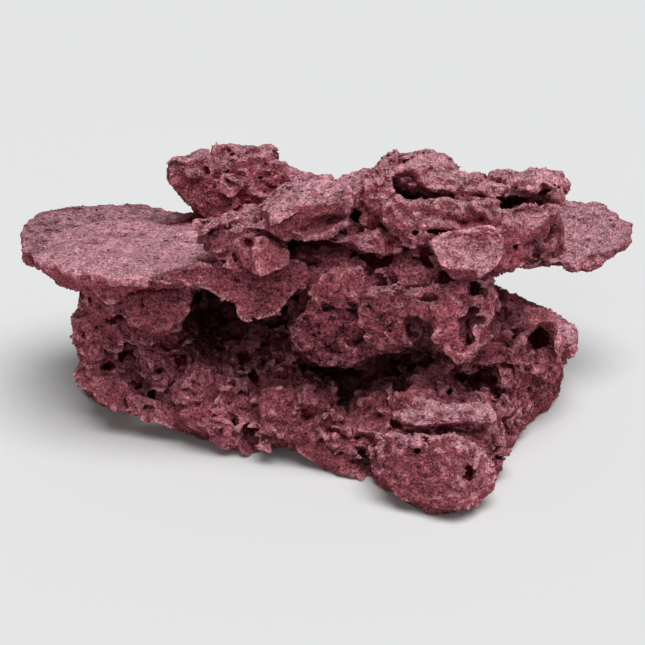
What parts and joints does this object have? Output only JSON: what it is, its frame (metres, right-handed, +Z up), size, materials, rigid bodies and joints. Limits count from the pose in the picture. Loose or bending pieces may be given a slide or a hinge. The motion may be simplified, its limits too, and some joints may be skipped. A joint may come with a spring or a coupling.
{
  "type": "aquarium reef rock",
  "caption": "Porous mauve reef rock on a broad foot, with a shaded cave in front and flat shelves reaching out left and right.",
  "frame": {"origin": "middle of the bounding box seen from above, on the plane that the stone stands on", "axes": "+Z up; +X along the long side, towards the smaller, higher-set right shelf; -Y towards the front with the cave and the jutting toe"},
  "size_m": [0.4024, 0.2354, 0.1806],
  "materials": {
    "reef_stone": "dusty, granular and porous, dark in its hollows"
  },
  "bodies": {
    "root": {"reef_rock": "reef_stone"}
  },
  "joints": []
}
